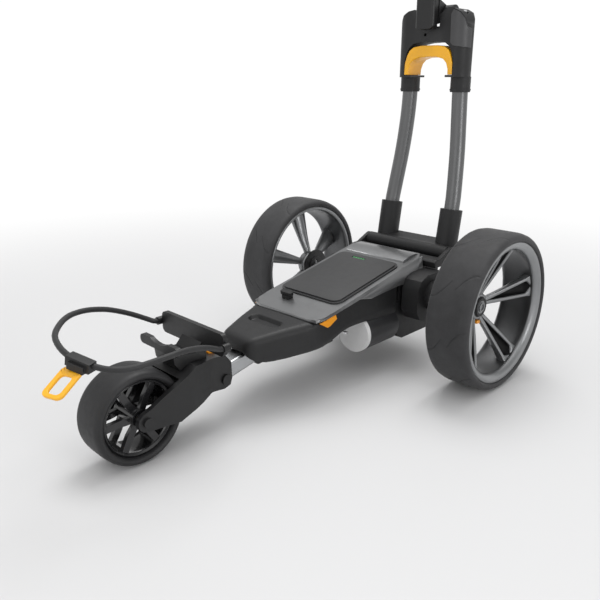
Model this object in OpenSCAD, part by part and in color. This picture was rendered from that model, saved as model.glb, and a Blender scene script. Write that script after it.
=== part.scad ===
// Electric golf trolley with two rear wheels, one front wheel and a folding stem.
// Millimetres, +Z up, X across the trolley, the front wheel towards -Y.
// The origin is on the ground, midway between the foremost and rearmost points.

/* [Wheels] */
// Rear wheel diameter over the tyre
rear_d = 290; // [286:1:294]
// Overall width over the rear tyres
track = 564; // [556:2:580]
// Width of a rear tyre
tyre_w = 84; // [76:1:90]
// Distance from the rear axle to the front axle
wheelbase = 603; // [600:1:612]
// Front wheel diameter over the tyre
front_d = 148; // [144:1:150]
// Width of the front tyre
front_w = 64; // [56:1:66]
// Number of double spokes in a rear wheel
spokes = 5; // [5:1:7]
// Number of spokes in the front wheel
front_spokes = 6; // [5:1:8]

/* [Chassis] */
// Slope of the battery deck, degrees
deck_slope = 11.5; // [11:0.5:12]
// Width of the chassis shell
shell_w = 160; // [158:1:161]
// Length of the battery pack along the deck
batt_l = 174; // [160:2:176]
// Width of the battery pack
batt_w = 126; // [120:2:128]

/* [Stem] */
// Outside diameter of the twin stem tubes
stem_d = 31; // [28:0.5:31]
// Wall of the twin stem tubes
stem_wall = 2.5; // [1.5:0.5:4]
// Width of the upper bag bracket
bracket_w = 158; // [154:1:164]

/* [Handle] */
// Length of the rubber grip
grip_l = 190; // [150:5:200]
// Grip diameter
grip_d = 29; // [24:1:32]
// Diameter of the speed dial
dial_d = 30; // [24:1:34]

/* [Bag strap] */
// Diameter of the rubber strap
strap_d = 8.4; // [6:0.2:10]

/* [Hidden] */

phase_r = -6; phase_l = 0;  // spoke angle of each rear wheel
rr = rear_d/2;              // rear axle height
rf = front_d/2;             // front axle height
org_y = 241.5;              // rear axle to origin
fy = -wheelbase;            // front axle
pvy = -447; pvz = 86;       // fork fold axis
sy = 80; sz = 208;          // stem fold axis
hy = 140; hz = 664;         // handle fold axis
wx = 52; wz = 90;           // worm and motor axis
hw = shell_w/2;
lid_w = batt_w + 22; lid_l = batt_l + 14;   // battery lid
case_l = batt_l - 28;        // case below the lid
cell_l = (case_l - 16)/2;    // one battery cell
$fn = 48;

// ---------- helpers ----------
module place() translate([0, org_y, 0]) children();
module deck() translate([0, -216, 167]) rotate([deck_slope, 0, 0]) children();
module rrect(w, h, r) union() {
  square([w - 2*r, h], center = true);
  square([w, h - 2*r], center = true);
  for (x = [-1, 1], y = [-1, 1]) translate([x*(w/2 - r), y*(h/2 - r)]) circle(r = r);
}
// box with rounded edges along z, standing on z0
module rbox(w, l, h, r, z0 = 0) translate([0, 0, z0]) linear_extrude(h) rrect(w, l, r);
// cylinder along x from x0 to x1
module xc(r, x0, x1) translate([x0, 0, 0]) rotate([0, 90, 0]) cylinder(r = r, h = x1 - x0);
// ring along x
module xring(ro, ri, x0, x1) difference() { xc(ro, x0, x1); xc(ri, x0 - 1, x1 + 1); }
// cylinder along y from y0 to y1
module yc(r, y0, y1) translate([0, y0, 0]) rotate([-90, 0, 0]) cylinder(r = r, h = y1 - y0);
// side profile given as [y, z], extruded from x0 to x1
module side(x0, x1) translate([x0, 0, 0]) rotate([90, 0, 90]) linear_extrude(x1 - x0) children();
// front profile given as [x, z], extruded from y0 to y1
module front(y0, y1) translate([0, y1, 0]) rotate([90, 0, 0]) linear_extrude(y1 - y0) children();
// profile given as [radius, x], turned about the x axis
module xrev() rotate([0, 90, 0]) rotate_extrude() children();
function mir(p) = concat(p, [for (i = [len(p)-1:-1:0]) [-p[i][0], p[i][1]]]);

// swept tube along a route
function unit(v) = v/norm(v);
function cr(p, i, t) = let (n = len(p), a = p[max(i-1, 0)], b = p[i], c = p[min(i+1, n-1)], d = p[min(i+2, n-1)])
  0.5*(2*b + (c - a)*t + (2*a - 5*b + 4*c - d)*t*t + (3*b - a - 3*c + d)*t*t*t);
function route(p, k) = [for (i = [0:len(p)-2], j = [0:k-1]) cr(p, i, j/k), p[len(p)-1]];
function tang(q, i) = unit(q[min(i+1, len(q)-1)] - q[max(i-1, 0)]);
module sweep(q, r, n, ref = [0, 0, 1]) {
  m = len(q);
  pts = [for (i = [0:m-1]) let (t = tang(q, i), u = unit(cross(ref, t)), v = cross(t, u))
    for (a = [0:n-1]) q[i] + r*cos(360*a/n)*u + r*sin(360*a/n)*v];
  polyhedron(pts, concat(
    [[for (a = [n-1:-1:0]) a]],
    [for (i = [0:m-2], a = [0:n-1]) [i*n + a, i*n + (a+1)%n, (i+1)*n + (a+1)%n, (i+1)*n + a]],
    [[for (a = [0:n-1]) (m-1)*n + a]]));
}

module sweep_tube(q, ro, ri, n, ref) {
  m = len(q);
  k = m*n;
  ring = function (r) [for (i = [0:m-1]) let (t = tang(q, i), u = unit(cross(ref, t)), v = cross(t, u))
    for (a = [0:n-1]) q[i] + r*cos(360*a/n)*u + r*sin(360*a/n)*v];
  polyhedron(concat(ring(ro), ring(ri)), concat(
    [for (a = [0:n-1]) [a, k + a, k + (a+1)%n, (a+1)%n]],
    [for (i = [0:m-2], a = [0:n-1]) [i*n + a, i*n + (a+1)%n, (i+1)*n + (a+1)%n, (i+1)*n + a]],
    [for (i = [0:m-2], a = [0:n-1]) [k + i*n + a, k + (i+1)*n + a, k + (i+1)*n + (a+1)%n, k + i*n + (a+1)%n]],
    [for (a = [0:n-1]) [k - n + a, k - n + (a+1)%n, k + k - n + (a+1)%n, k + k - n + a]]));
}

// ---------- chassis ----------
shell_side = [[-402, 118], [-401.5, 127], [-397, 136], [-388, 141], [-340, 147], [-293, 151.2], [-290, 146],
  [-62, 192.2], [-62, 100], [-150, 104], [-222, 106], [-300, 100], [-362, 96], [-371, 99], [-376, 119], [-392, 123]];
shell_plan = [[22, -402], [38, -393], [47, -376], [60, -340], [76, -298], [hw, -270], [hw, -62]];
shell_in = [[18.5, -398], [35, -390], [43.5, -375], [56.4, -338.5], [72.5, -296.5], [hw - 3.5, -268], [hw - 3.5, -50]];
module shell_cut(e) {
  // room for the battery, the motor and the front tube
  deck() translate([0, 5 + case_l/2, -50.4]) rbox(batt_w + 2*e, case_l + 2*e, 64, 8);
  translate([wx, 0, wz]) yc(39, -240, 0);
  translate([0, -372, 101]) rotate([12, 0, 0]) rotate([90, 0, 0]) translate([0, 0, -64]) linear_extrude(120) rrect(36.6, 28.6, 5);
}
module chassis_shell() color([0.08, 0.08, 0.085]) difference() {
  intersection() {
    side(-hw, hw) polygon(shell_side);
    linear_extrude(300) polygon(mir(shell_plan));
  }
  difference() {
    intersection() {
      side(-hw + 3.5, hw - 3.5) polygon([[-366, 90], [-366, 134], [-290, 141], [-58, 188], [-58, 90]]);
      linear_extrude(300) polygon(mir(shell_in));
    }
    // tray under the battery and block around the front tube
    side(-hw, hw) polygon([[-366, 90], [-366, 134], [-330, 138], [-322, 90]]);
    deck() translate([-hw, 1, -54.5]) cube([shell_w, case_l + 8, 4.1]);
  }
  shell_cut(0.4);
  // oval finger recess in the nose
  translate([0, -332, 139]) rotate([6, 0, 0]) linear_extrude(30) rrect(72, 23, 11.4);
  // long shadow recess behind the side marker
  for (s = [-1, 1]) translate([s*hw, 0, 0]) side(-1.5, 1.5) polygon([[-238, 151], [-232, 156], [-184, 164], [-180, 158], [-230, 146]]);
}
module chassis_floor() color([0.06, 0.06, 0.065]) difference() {
  intersection() {
    side(-hw + 4, hw - 4) polygon([[-308, 99.4], [-300, 100], [-222, 106], [-150, 104], [-64, 100],
      [-64, 103], [-150, 107], [-222, 109], [-300, 103], [-308, 102.4]]);
    translate([0, 0.6, 0]) linear_extrude(300) polygon(mir([for (q = shell_in) [q[0] - 0.6, q[1]]]));
  }
  translate([wx, 0, wz]) yc(39, -240, 0);
  for (y = [-300, -180]) translate([0, y, 104]) cube([60, 4, 30], center = true);
}
module deck_frame() color([0.55, 0.56, 0.57]) {
  difference() {
    deck() translate([0, 0, -4.2]) linear_extrude(6.2) polygon(mir([[0.01, -74], [60, -74], [76, -70], [82, -56], [84.5, -30], [84.5, 222], [74, 238], [0.01, 238]]));
    deck() translate([0, 82, -6]) rbox(lid_w + 0.8, lid_l + 0.8, 12, 18.4);
    deck() translate([-31, -31, -1.8]) rbox(18.8, 14.8, 4.9, 3.4);
  }
  // raised lip behind the battery
  deck() translate([-72, 0, 0]) rotate([90, 0, 90]) linear_extrude(144) polygon([[184.5, 1], [187, 5.2], [194, 7.4], [210, 7.8], [226, 5.6], [236, 1.9], [236, 1]]);
  for (s = [0, 1]) mirror([s, 0, 0]) side(hw + 0.2, hw + 4.5)
    polygon([[-279, 152.9], [-243, 158.2], [-236, 158.8], [-176, 169], [-146, 163], [-100, 166.5], [-58, 169], [-25, 166], [-5, 163.5], [12, 165], [15, 186], [14, 212.8], [-100, 189.6], [-279, 153.5]]);
}
module marker() side(hw, hw + 3.4) polygon([[-281, 148.9], [-262, 137.5], [-256, 138.5], [-238, 148], [-242, 156.4]]);
module side_marker_right() color([0.95, 0.6, 0.1]) marker();
module side_marker_left() color([0.95, 0.6, 0.1]) mirror([1, 0, 0]) marker();
module front_tube() color([0.72, 0.73, 0.74]) translate([0, -372, 101]) rotate([12, 0, 0]) rotate([90, 0, 0])
  translate([0, 0, -60]) linear_extrude(115) difference() { rrect(36, 28, 4.5); rrect(30.4, 22.4, 2.5); }
module pivot_block() color([0.07, 0.07, 0.075]) difference() {
  union() {
    translate([0, pvy, pvz]) xc(17, -17, 17);
    translate([0, -372, 101]) rotate([12, 0, 0]) {
      translate([0, -12, 0]) rotate([90, 0, 0]) linear_extrude(54) rrect(30, 22, 3.2);
      translate([-16.5, -70, -12.6]) cube([33, 14.9, 25.2]);
    }
  }
  translate([0, pvy, pvz]) xc(5.05, -20, 20);
}
module control_board() color([0.1, 0.4, 0.2]) {
  translate([-64, -306, 111]) cube([42, 44, 1.6]);
  translate([-58, -300, 112.6]) cube([14, 14, 6]);
  translate([-38, -302, 112.6]) cube([12, 20, 4]);
  translate([-56, -278, 112.6]) cube([12, 8, 9]);
}
// rear gearbox, split where the worm wheel runs
gear_side = [[-61.5, 76], [-50, 60], [-38, 54], [56, 54], [70, 66], [78, 100], [78, 176], [70, 190], [18, 190], [15, 195.5], [-40, 195.5], [-54, 189], [-54, 137], [-61.5, 133]];
gw = 79.8;                  // half width of the gearbox
module gear_cuts() {
  translate([0, 0, rr]) {
    xc(8, -200, 200);
    xc(47, wx - 13, wx + 13);
    xc(14, -90, 9 - gw); xc(14, gw - 9, 90);
  }
  translate([wx, 0, wz]) { yc(12.5, -45, 35); yc(11, -64, 48); }
}
module gearbox_half(x0, x1) difference() {
  union() {
    side(x0, x1) polygon(gear_side);
    // arms round the axle
    mirror([x0 < 0 ? 1 : 0, 0, 0]) translate([0, 0, rr]) {
      side(gw - 1, 86) translate([0, -rr]) polygon([[-40, 112], [54, 112], [54, 160], [-40, 160]]);
      side(85.2, 122) translate([0, -rr]) polygon([[-52, 120], [-40, 102], [-24, 96], [36, 96], [52, 108], [58, 130], [56, 166], [44, 182], [26, 188.6], [-22, 188.6], [-42, 180], [-52, 162]]);
      xc(30, 121, 130);
    }
  }
  gear_cuts();
  // weight-saving pocket, open below
  translate([-12, 8, 40]) cube([76, 70, 110], center = true);
  translate([-40, 8, 150]) rbox(50, 90, 30, 8);
}
module gearbox_left() color([0.09, 0.09, 0.095]) gearbox_half(-gw, wx);
module gearbox_right() color([0.07, 0.07, 0.075]) gearbox_half(wx, gw);
module gearbox_bearings() color([0.75, 0.75, 0.77]) {
  for (x = [-gw, gw - 9]) translate([0, 0, rr]) xring(14, 6.05, x, x + 9);
  translate([wx, 0, wz]) for (y = [-59, 36]) difference() { yc(11, y, y + 9); yc(4.05, y - 1, y + 10); }
}
module motor_can() color([0.1, 0.1, 0.1]) translate([wx, 0, wz]) difference() {
  yc(37, -148, -62);
  yc(34, -149, -66);
  yc(11, -70, -60);
}
module motor_cap() color([0.82, 0.82, 0.82]) translate([wx, 0, wz]) difference() {
  union() { yc(37, -157, -148); yc(33.9, -148.1, -142); }
  yc(30.5, -154, -140);
  yc(4.05, -155.5, -140);
}
module motor_rotor() color([0.6, 0.35, 0.2]) translate([wx, 0, wz]) {
  yc(4, -155, 47.5);
  for (a = [0:30:330]) rotate([0, a, 0]) translate([-3.2, -136, 0]) cube([6.4, 56, 30]);
  yc(22, -136, -80);
}
module worm() color([0.7, 0.7, 0.72]) translate([wx, 0, wz]) rotate([-90, 0, 0]) rotate_extrude()
  polygon(concat([[4, -26], [7, -26]], [for (i = [0:7]) each [[7, -24 + 6*i], [9.3, -22.6 + 6*i], [9.3, -20.6 + 6*i], [7, -19.2 + 6*i]]], [[7, 25.5], [4, 25.5]]));
module worm_wheel() color([0.8, 0.62, 0.3]) translate([0, 0, rr]) difference() {
  union() {
    xc(42.2, wx - 7, wx + 7);
    xc(14, wx - 12, wx + 12);
    for (a = [0:18:342]) rotate([a + 9, 0, 0]) translate([wx - 7, -1.9, 40]) cube([14, 3.8, 5]);
  }
  xc(6, wx - 20, wx + 20);
  for (a = [0:60:300]) rotate([a, 0, 0]) translate([0, 0, 28]) xc(7.5, wx - 20, wx + 20);
}
module pin_at(r, h) for (s = [-1, 1]) translate([s*(track/2 - 90), 0, 0]) rotate([s > 0 ? phase_r : phase_l, 0, 0]) cylinder(r = r, h = h, center = true);
module axle_shaft() color([0.7, 0.7, 0.72]) translate([0, 0, rr]) difference() {
  xc(6, -track/2 + 66, track/2 - 66);
  pin_at(2, 30);
}
module drive_pins() color([0.6, 0.6, 0.62]) translate([0, 0, rr]) pin_at(2, 24);
module battery_case() color([0.13, 0.13, 0.135]) deck() translate([0, 5 + case_l/2, -2.5]) difference() {
  rbox(batt_w, case_l, 44.8, 8, -47);
  rbox(batt_w - 6, case_l - 6, 53, 6, -44);
}
module battery_lid() color([0.2, 0.2, 0.205]) deck() translate([0, 82, -2.5]) difference() {
  union() {
    rbox(lid_w, lid_l, 8.6, 18, -1.6);
    rbox(lid_w - 8, lid_l - 8, 3, 15, 6.8);
  }
  rbox(batt_w - 16, case_l - 16, 5, 6, -3);
  translate([-16, lid_l/2 - 18, 7.6]) rbox(33, 5.4, 3, 1);
}
module battery_cells() color([0.3, 0.5, 0.6]) deck() for (i = [0:5], j = [0, 1]) translate([-47.5 + i*19, 11.5 + j*(cell_l + 2), -36])
  rotate([-90, 0, 0]) cylinder(r = 9, h = cell_l);
module battery_leds() color([0.5, 0.9, 0.6]) deck() for (i = [0:4]) translate([-30.2 + i*6, lid_l/2 + 62, 5.1]) cube([4.4, 4, 1.8]);
module hinge_base() color([0.07, 0.07, 0.075]) difference() {
  union() {
    side(-108, 108) polygon([[23, 190.2], [20.5, 202], [26, 206.5], [46, 207], [60, 203], [60, 190.2]]);
    for (s = [0, 1]) mirror([s, 0, 0]) side(100, 108) union() {
      translate([sy, sz]) circle(r = 15);
      polygon([[40, 190.2], [40, 206], [sy - 6, sz + 13.7], [sy + 10, sz - 11], [sy - 4, 190.2]]);
    }
  }
  deck() translate([-90, 180, -10]) cube([180, 60, 17]);
  translate([0, sy, sz]) { xc(17.5, -99.8, 99.8); xc(5, -120, 120); }
}
module stem_pin() color([0.6, 0.6, 0.62]) translate([0, sy, sz]) difference() {
  union() { xc(5, -108, 108); xc(9, 108, 111); xc(9, -111, -108); }
  for (s = [0, 1]) mirror([s, 0, 0]) translate([109.2, 0, 0]) rotate([0, 90, 0]) cylinder(r = 3.2, h = 4, $fn = 6);
}
module chassis_screws() color([0.5, 0.5, 0.52]) for (s = [-1, 1]) {
  translate([s*70, 40, 50]) difference() { cylinder(r = 4.5, h = 3.9); translate([0, 0, -1]) cylinder(r = 2.2, h = 3, $fn = 6); }
  translate([s*54, -300, 95.6]) difference() { cylinder(r = 4, h = 4); translate([0, 0, -1]) cylinder(r = 2, h = 3, $fn = 6); }
  translate([s*62, -190, 101]) difference() { cylinder(r = 4, h = 3.6); translate([0, 0, -1]) cylinder(r = 2, h = 3, $fn = 6); }
}
module battery_plug() color([0.07, 0.07, 0.075]) deck() translate([-31, -31, 0]) {
  rbox(18, 14, 10, 3, -1.4);
  rbox(28, 9, 6, 3, 8.5);
}

// ---------- rear wheels, built for the right-hand side ----------
module at_wheel() translate([track/2, 0, rr]) children();
module tyre_r() at_wheel() xrev() polygon([[130, -6], [131.5, -1.5], [134.5, 0], [138.5, -0.8], [142, -4], [144.3, -9], [rr, -16],
  [rr, 16 - tyre_w], [144.3, 9 - tyre_w], [142, 4 - tyre_w], [138.5, 0.8 - tyre_w], [134.5, -tyre_w], [131.5, 1.5 - tyre_w], [130, 6 - tyre_w]]);
module rim_r(phase) at_wheel() {
  // barrel with a broad outer lip
  xrev() polygon([[130, -4], [130, 4 - tyre_w], [125, 3 - tyre_w], [122, 6 - tyre_w], [120, -60], [119, -34], [116, -20], [114, -14], [118, -7], [124, -3.2], [128, -2.6]]);
  difference() {
    union() {
      xrev() polygon([[19, -78], [27, -78], [30, -70], [29, -62], [25, -58], [19, -58]]);
      for (i = [0:spokes-1], s = [-1, 1]) rotate([phase + 360*i/spokes + s*7, 0, 0])
        rotate([90, 0, 0]) translate([0, 0, -5]) linear_extrude(10)
          polygon([[-60, 24], [-15, 118], [-30, 120], [-56, 120.5], [-62, 84], [-70, 50], [-74, 24]]);
    }
    xc(19.2, -90, 0);
    // way through for the release button
    rotate([phase, 0, 0]) translate([-70, 0, -29]) rotate([0, 90, 0]) linear_extrude(40, center = true) rrect(6.8, 12.8, 2);
  }
}
module hub_r(phase) at_wheel() rotate([phase, 0, 0]) difference() {
  union() {
    xc(19, -92, -57);
    xring(17.5, 12, -57, -54.5);
    xc(34, -90, -86);
  }
  xc(6.05, -100, -65);
  xc(12, -65, -50);
  translate([-90, 0, 0]) cube([8.6, 5, 25], center = true);
  translate([-82, 0, -29]) rotate([0, 90, 0]) linear_extrude(20, center = true) rrect(6.8, 12.8, 2);
}
module hub_cap_r() at_wheel() union() { xc(12, -59, -55); xring(9, 6, -55, -53); }
module release_r(phase) at_wheel() rotate([phase, 0, 0]) translate([0, 0, -29]) {
  rotate([0, 90, 0]) translate([0, 0, -88]) linear_extrude(31) rrect(6, 12, 1.8);
  rotate([0, 90, 0]) translate([0, 0, -82]) linear_extrude(3) rrect(11, 15, 2.5);
}
module tyre_right() color([0.16, 0.16, 0.165]) tyre_r();
module tyre_left() color([0.16, 0.16, 0.165]) mirror([1, 0, 0]) tyre_r();

module rim_right() color([0.6, 0.61, 0.62]) rim_r(phase_r);
module rim_left() color([0.6, 0.61, 0.62]) mirror([1, 0, 0]) rim_r(phase_l);
module hub_right() color([0.06, 0.06, 0.065]) hub_r(phase_r);
module hub_left() color([0.06, 0.06, 0.065]) mirror([1, 0, 0]) hub_r(phase_l);
module hub_cap_right() color([0.75, 0.76, 0.77]) hub_cap_r();
module hub_cap_left() color([0.75, 0.76, 0.77]) mirror([1, 0, 0]) hub_cap_r();
module release_right() color([0.95, 0.6, 0.1]) release_r(phase_r);
module release_left() color([0.95, 0.6, 0.1]) mirror([1, 0, 0]) release_r(phase_l);

// ---------- front fork and wheel ----------
fork_side = [[-434, 112], [-433, 84], [-437, 73], [-450, 70], [-476, 74], [-499, 67], [-520, 62], [-545, 53], [-603, 59],
  [-611, 61.5], [-616.5, 67], [-618, 74], [-616, 81.5], [-610, 87], [-596, 92], [-572, 104], [-545, 116], [-527, 124], [-512, 133], [-470, 131], [-446, 127]];
fork_plan = [[30, -433], [31.5, -455], [34, -480], [40, -500], [44, -518], [44, -620]];
module fork() color([0.07, 0.07, 0.075]) difference() {
  intersection() {
    side(-60, 60) polygon(fork_side);
    linear_extrude(200) polygon(mir(fork_plan));
  }
  translate([0, fy, rf]) { xc(rf + 4.5, -35.5, 35.5); xc(4, -60, 60); }
  side(-18.4, 18.4) union() {
    translate([pvy, pvz]) circle(r = 18.6);
    polygon([[-447, 104.6], [-400, 114], [-400, 0], [-570, 0], [-570, 60], [-474, 92], [-462, 101]]);
  }
  translate([0, pvy, pvz]) xc(5, -60, 60);
  translate([0, -458, 118]) rbox(25, 17, 20, 4);
}
module fork_pin() color([0.6, 0.6, 0.62]) translate([0, pvy, pvz]) union() { xc(5, -32, 32); xc(8.5, 32, 35); xc(8.5, -35, -32); }
module front_axle() color([0.6, 0.6, 0.62]) translate([0, fy, rf]) union() { xc(4, -44, 44); xc(7.5, 44, 48); xc(7.5, -48, -44); }
module bag_cradle() color([0.07, 0.07, 0.075]) {
  // back plate with rounded ends
  front(-487, -479) translate([0, 168]) rrect(158, 36, 9);
  // strap anchors at both ends
  for (s = [-1, 1]) translate([s*84, -493.5, 168]) rotate([-90, 0, 0]) cylinder(r = 6.6, h = 11.7);
  // centre post on the fork
  side(-25, 25) polygon([[-479.1, 160], [-479.1, 131.6], [-511, 133.4], [-528, 125.2], [-538, 138], [-541, 160], [-536, 160], [-528, 148], [-500, 146], [-487, 160]]);
  // front lip
  difference() {
    front(-548, -540) translate([0, 165]) rrect(98, 15, 7);
    translate([0, -560, 214]) yc(47.5, -10, 40);
  }
  // crown over the tyre
  intersection() {
    difference() {
      translate([0, fy, rf]) xring(rf + 20, rf + 12.5, -34, 34);
      translate([0, 0, 160.5]) cube([200, 2000, 100], center = true);
    }
    side(-60, 60) polygon([[-560, 100], [-560, 170], [-541, 170], [-529, 126], [-529, 100]]);
  }
}
strap_route = [[-84, -493, 168], [-85, -500, 169.5], [-90, -512, 176], [-93, -532, 187], [-94.5, -553, 197], [-93.5, -575, 206],
  [-89, -598, 213], [-82, -621, 218], [-69, -648, 221], [-49, -672, 220], [-20, -694, 217], [11, -703, 212], [36, -703, 207],
  [55, -698, 203], [70, -690, 200], [83, -680, 196.5], [93, -667, 194.5], [100, -653, 194], [104, -637, 195], [106, -620, 196],
  [106, -600, 196], [103.5, -579, 195], [99.5, -555, 191], [94.5, -531, 184], [88, -509, 174], [84.5, -500, 169.5], [84, -493, 168]];
module bag_strap() color([0.09, 0.09, 0.09]) sweep(route(strap_route, 2), strap_d/2, 10);
hook_at = [57, -697, 202.3]; hook_az = 22;
module strap_hook() color([0.06, 0.06, 0.065]) translate(hook_at) rotate([0, 0, hook_az]) rotate([0, 12, 0]) {
  translate([-21, -8, -7.5]) cube([38, 15, 14]);
  translate([-15, -12, -9]) cube([26, 6, 10]);
}
module strap_tab() color([1, 0.75, 0.1]) translate(hook_at) rotate([0, 0, hook_az - 4]) rotate([26, 0, 0]) translate([-10, -32, -8]) difference() {
  rbox(34, 50, 4.5, 9);
  translate([0, -4, -1]) rbox(20, 30, 10, 6);
}
module fork_latch() color([0.95, 0.6, 0.1]) translate([0, -458, 118]) union() { rbox(24, 16, 12.5, 3.8, 2.7); rbox(18, 11, 2.2, 3, 15); }
module front_tyre() color([0.16, 0.16, 0.165]) translate([0, fy, rf]) xrev() polygon([
  [60, -22], [60.5, -27], [63, -30.6], [66.5, -front_w/2], [70, -30.4], [72.6, -26.5], [73.8, -20], [rf, -12],
  [rf, 12], [73.8, 20], [72.6, 26.5], [70, 30.4], [66.5, front_w/2], [63, 30.6], [60.5, 27], [60, 22]]);
module front_rim() color([0.05, 0.05, 0.055]) translate([0, fy, rf]) difference() {
  union() {
    xrev() polygon([[60, -24], [60, 24], [57, 26], [54, 23], [55.5, 16], [55.5, -16], [54, -23], [57, -26]]);
    xc(14, -26, 26);
    for (i = [0:front_spokes-1]) rotate([90 + 360*i/front_spokes, 0, 0]) rotate([90, 0, 0])
      translate([0, 0, -5.5]) linear_extrude(11) polygon([[-22, 10], [-20, 30], [-22, 56], [22, 56], [20, 30], [22, 10], [16, 10], [12, 30], [13, 50], [-13, 50], [-12, 30], [-16, 10]]);
  }
  xc(4.6, -40, 40);
  xc(9, -40, -19); xc(9, 19, 40);
}
module front_bearings() color([0.75, 0.75, 0.77]) for (x = [-26, 19]) translate([0, fy, rf]) xring(9, 4.05, x, x + 7);

// ---------- stem ----------
tube_route = [[75, 112.4, 236], [75.2, 121, 290], [73.6, 127.5, 324], [67.6, 138.8, 398], [62.7, 143.8, 460], [60, 145.3, 510], [59.7, 144.8, 549]];
sock_tilt = atan2(8.6, 54);
module sock(r, z0, z1) translate([75.05, 112.4, 236]) rotate([-sock_tilt, 0, 0]) translate([0, 0, z0 - 236]) cylinder(r = r, h = z1 - z0);
module stem_yoke() color([0.07, 0.07, 0.075]) difference() {
  union() {
    for (s = [0, 1]) mirror([s, 0, 0]) {
      sock(22.6, 214, 291);
    }
    translate([0, sy, sz]) xc(15.5, -99.4, 99.4);
    side(-84.2, 84.2) {
      polygon([[sy - 6, sz + 14.2], [92, 223], [124, 226], [130, 214], [124, 201], [sy + 8, sz - 13.2]]);
    }
  }
  for (s = [0, 1]) mirror([s, 0, 0]) sock(stem_d/2 + 0.6, 235.6, 300);
  translate([0, sy, sz]) xc(5.05, -120, 120);
  translate([0, 112, 190]) cube([92, 26, 52], center = true);
}
module stem_tube() sweep_tube(route(tube_route, 3), stem_d/2, stem_d/2 - stem_wall, 24, [0, 1, 0]);
module stem_tube_right() color([0.5, 0.51, 0.52]) stem_tube();
module stem_tube_left() color([0.5, 0.51, 0.52]) mirror([1, 0, 0]) stem_tube();
bw = bracket_w/2;
module bracket_plan(e) translate([0, 141, 500]) rbox(bracket_w + 2*e, 50 + 2*e, 200, 24 + e);
module upper_bracket() color([0.1, 0.1, 0.105]) difference() {
  union() {
    intersection() {
      bracket_plan(0);
      front(110, 170) polygon(mir([[0.01, 648], [22, 662], [38, 673], [52, 671], [66, 664], [74, 652], [77.4, 636], [bw, 600], [bw + 1, 547],
        [40.6, 547], [40.6, 551], [56.8, 551], [56.8, 576], [52, 594], [47, 603], [37, 610], [20, 612.5], [0.01, 613]]));
    }
    for (s = [0, 1]) mirror([s, 0, 0]) {
      // sleeves on the twin tubes
      translate([59.8, 144.9, 519]) cylinder(r = 19.6, h = 29);
      translate([59.8, 144.9, 522]) cylinder(r = 20.6, h = 3);
      translate([0, hy, hz]) xc(15, 22, 40);
    }
  }
  for (s = [0, 1]) mirror([s, 0, 0]) translate([59.8, 144.9, 510]) cylinder(r = stem_d/2 + 0.7, h = 39.4);
  translate([0, hy, hz]) xc(4, -100, 100);
  translate([0, hy, hz + 8]) cube([43.4, 80, 64], center = true);
  // locking-pin hole in the front face
  translate([-10, 0, 626]) yc(3, 110, 130);
}
module side_pod() color([0.3, 0.3, 0.31]) difference() {
  intersection() {
    bracket_plan(1.6);
    front(112, 139) polygon([[49, 610], [55, 604], [bw + 3, 600], [bw + 3, 632], [76.5, 638], [73, 651], [65, 662.5], [52, 668.5], [47, 660]]);
  }
  bracket_plan(0);
}
module handle_pin() color([0.6, 0.6, 0.62]) translate([0, hy, hz]) xc(4, -63, 63);
module fold_lever() color([0.95, 0.65, 0.1]) front(114.5, 162) difference() {
  polygon(mir([[56, 551.5], [55, 574], [50.5, 588], [45.5, 597], [36, 603.5], [20, 606], [0.01, 606.3]]));
  polygon(mir([[47, 540], [46, 562], [42, 573], [34.5, 580.5], [20, 584.5], [0.01, 585]]));
}
module handle_stem() color([0.05, 0.05, 0.055]) difference() {
  union() {
    intersection() {
      front(93, 114) translate([0, 772]) rrect(42, 274, 9);
      translate([0, 103.5, 600]) rbox(42, 21, 400, 7);
    }
    side(-21, 21) union() {
      translate([hy, hz]) circle(r = 14);
      polygon([[113, 644], [hy - 6, hz - 12.6], [hy, hz + 14], [113, hz + 24]]);
    }
  }
  translate([0, hy, hz]) xc(4.05, -60, 60);
  // hollow for the control cable
  translate([0, 103.5, 690]) rbox(30, 12, 300, 3);
}
module at_head() translate([0, 118, 922]) rotate([-32, 0, 0]) children();
module handle_head() color([0.08, 0.08, 0.085]) difference() {
  union() {
    at_head() difference() {
      rbox(118, 86, 34, 20, -14);
      rbox(108, 76, 26, 16, -10);
    }
    // stem socket
    translate([0, 103.5, 868]) rbox(54, 33, 52, 8);
    // side arms up to the grip
    for (s = [-1, 1]) translate([s*(grip_l/2 + 6), 0, 0]) side(-6, 6) union() {
      translate([178, 984]) circle(r = 17);
      polygon([[112, 904], [104, 918], [112, 936], [165, 994], [190, 974], [140, 912]]);
    }
    for (s = [-1, 1]) translate([s*76, 124, 920]) cube([52, 22, 18], center = true);
    translate([0, 178, 984]) xc(8, -grip_l/2, grip_l/2);
    // accessory boss facing forward
    at_head() translate([0, 0, 3]) yc(10.5, -60, -39);
  }
  translate([0, 103.5, 850]) rbox(42.6, 21.6, 60, 7.2);
  at_head() translate([0, 0, 3]) yc(5, -61, -42);
  at_head() {
    translate([-28, 2, 15]) rbox(50.4, 34.4, 30, 3);
    translate([30, 8, 10]) cylinder(r = 4.05, h = 30);
    translate([30, 8, 18]) cylinder(r = dial_d/2 + 0.5, h = 30);
    translate([30, -24, 10]) cylinder(r = 7.3, h = 30);
  }
}
module handle_grip() color([0.12, 0.12, 0.12]) translate([0, 178, 984]) xring(grip_d/2, 8, -grip_l/2 + 0.2, grip_l/2 - 0.2);
module display_lens() color([0.15, 0.2, 0.22]) at_head() translate([-28, 2, 15]) rbox(50, 34, 5, 3);
module speed_dial() color([0.95, 0.6, 0.1]) at_head() translate([30, 8, 0]) difference() {
  union() { translate([0, 0, 11]) cylinder(r = 4, h = 8); translate([0, 0, 18.5]) cylinder(r = dial_d/2, h = 9); }
  for (a = [0:30:330]) rotate([0, 0, a]) translate([dial_d/2 + 0.8, 0, 17]) cylinder(r = 2, h = 12, $fn = 16);
}
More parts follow.
